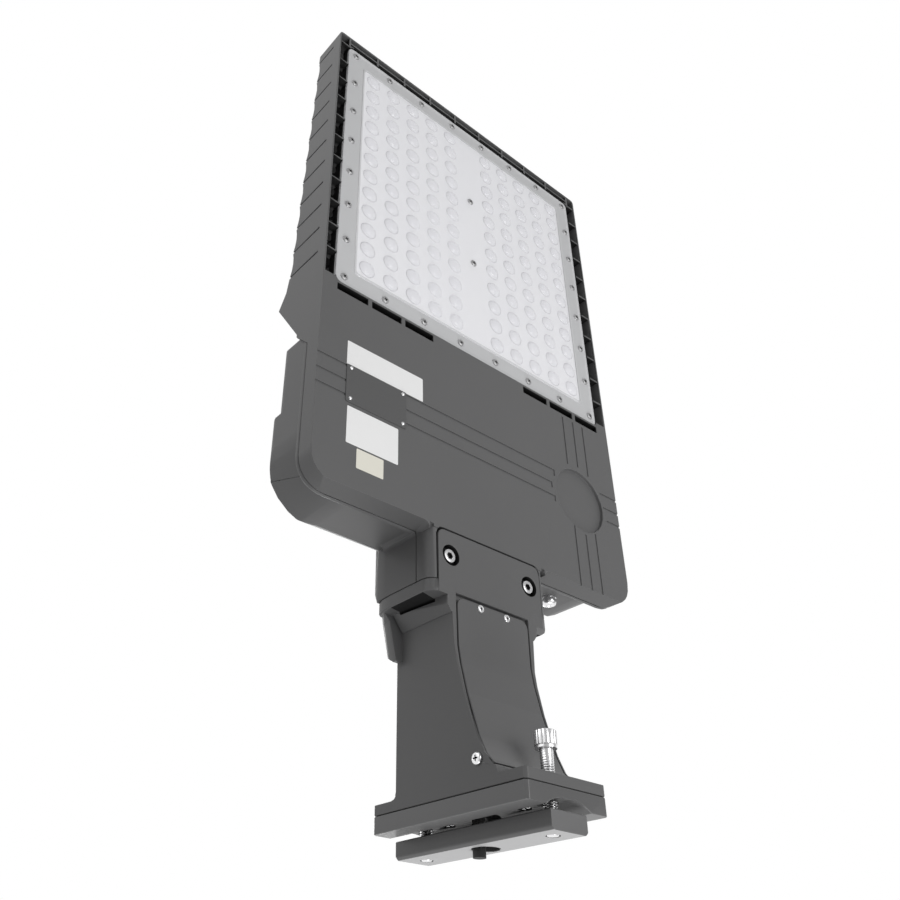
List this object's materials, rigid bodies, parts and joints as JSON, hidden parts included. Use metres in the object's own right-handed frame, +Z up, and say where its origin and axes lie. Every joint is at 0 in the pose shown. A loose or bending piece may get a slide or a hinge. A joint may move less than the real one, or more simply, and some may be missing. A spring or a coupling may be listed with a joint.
{
  "type": "shoebox area light",
  "caption": "Flat LED area light head with a domed clear lens and rear fins, on a straight arm that clamps to a round pole with a backing bar.",
  "frame": {"origin": "centre of the adapter's pole face, midway between the two pole bolts", "axes": "+X from the pole to the tip of the head, +Z up to the rear fins, lens faces -Z, +Y across the head"},
  "size_m": [0.713, 0.331, 0.1436],
  "materials": {
    "dark_paint": "fine textured dark grey powder coat",
    "arm_paint": "fine textured darker grey powder coat",
    "bolt_steel": "plain steel screws and bolts",
    "bare_casting": "bar with painted sides and a bare machined face",
    "clear_lens": "clear moulded polycarbonate",
    "white_board": "white solder mask",
    "pale_silicone": "matt pale silicone",
    "black_rubber": "matt black rubber",
    "driver_case": "extruded case",
    "black_nylon": "moulded black nylon"
  },
  "bodies": {
    "light_head": {"front_housing": "dark_paint", "driver_cover_gasket": "black_rubber", "lens_panel": "clear_lens", "lens_gasket": "pale_silicone", "led_board_left": "white_board", "led_board_right": "white_board", "led_driver": "driver_case", "surge_protector": "black_nylon", "terminal_block": "black_nylon", "lead_gland": "black_nylon", "supply_lead": "black_rubber", "arm": "arm_paint", "pole_adapter": "arm_paint", "adapter_gasket": "black_rubber", "neck_bolt_left": "bolt_steel", "neck_bolt_right": "bolt_steel", "arm_side_screw": "bolt_steel", "adapter_screw_lower": "bolt_steel", "adapter_screw_upper": "bolt_steel", "lens_screw_01": "bolt_steel", "lens_screw_02": "bolt_steel", "lens_screw_03": "bolt_steel", "lens_screw_04": "bolt_steel", "lens_screw_05": "bolt_steel", "lens_screw_06": "bolt_steel", "lens_screw_07": "bolt_steel", "lens_screw_08": "bolt_steel", "lens_screw_09": "bolt_steel", "lens_screw_10": "bolt_steel", "lens_screw_11": "bolt_steel", "lens_screw_12": "bolt_steel", "lens_screw_13": "bolt_steel", "lens_screw_14": "bolt_steel", "lens_screw_15": "bolt_steel", "lens_screw_16": "bolt_steel", "lens_screw_17": "bolt_steel", "lens_screw_18": "bolt_steel", "lens_screw_19": "bolt_steel", "lens_screw_20": "bolt_steel", "lens_screw_21": "bolt_steel", "lens_screw_22": "bolt_steel", "lens_screw_23": "bolt_steel", "lens_screw_24": "bolt_steel", "lens_screw_25": "bolt_steel", "lens_screw_26": "bolt_steel", "lens_screw_27": "bolt_steel", "lens_screw_28": "bolt_steel", "lens_screw_29": "bolt_steel", "lens_screw_30": "bolt_steel"},
    "driver_cover": {"driver_cover": "dark_paint", "vent_plug": "bolt_steel"},
    "wiring_cover": {"wiring_cover": "arm_paint", "wiring_cover_screw_left": "bolt_steel", "wiring_cover_screw_right": "bolt_steel"},
    "clamp_bar": {"clamp_bar": "bare_casting"},
    "upper_washer": {"pole_washer_upper": "bolt_steel"},
    "upper_bolt": {"pole_bolt_upper": "bolt_steel"},
    "lower_washer": {"pole_washer_lower": "bolt_steel"},
    "lower_bolt": {"pole_bolt_lower": "bolt_steel"}
  },
  "joints": [
    {"name": "driver_cover_lift", "type": "slide", "parent": "light_head", "child": "driver_cover", "axis": [0, 0, 1], "range_m": [0, 0.06]},
    {"name": "wiring_cover_lift", "type": "slide", "parent": "light_head", "child": "wiring_cover", "axis": [0, 0, -1], "range_m": [0, 0.0035]},
    {"name": "clamp_slide", "type": "slide", "parent": "light_head", "child": "clamp_bar", "axis": [-1, 0, 0], "range_m": [0, 0.011]},
    {"name": "upper_bolt_turn", "type": "hinge", "parent": "upper_washer", "child": "upper_bolt", "pos_m": [0, 0, 0.05715], "axis": [-1, 0, 0], "range_deg": [0, 1445]},
    {"name": "upper_bolt_advance", "type": "slide", "parent": "clamp_bar", "child": "upper_washer", "axis": [-1, 0, 0], "range_m": [0, 0.006]},
    {"name": "lower_bolt_turn", "type": "hinge", "parent": "lower_washer", "child": "lower_bolt", "pos_m": [0, 0, -0.05715], "axis": [-1, 0, 0], "range_deg": [0, 1445]},
    {"name": "lower_bolt_advance", "type": "slide", "parent": "clamp_bar", "child": "lower_washer", "axis": [-1, 0, 0], "range_m": [0, 0.006]}
  ],
  "couplings": [
    {"joint": "upper_bolt_turn", "follows": "upper_bolt_advance", "rad_per_m": 4188.8},
    {"joint": "lower_bolt_turn", "follows": "lower_bolt_advance", "rad_per_m": 4188.8}
  ]
}
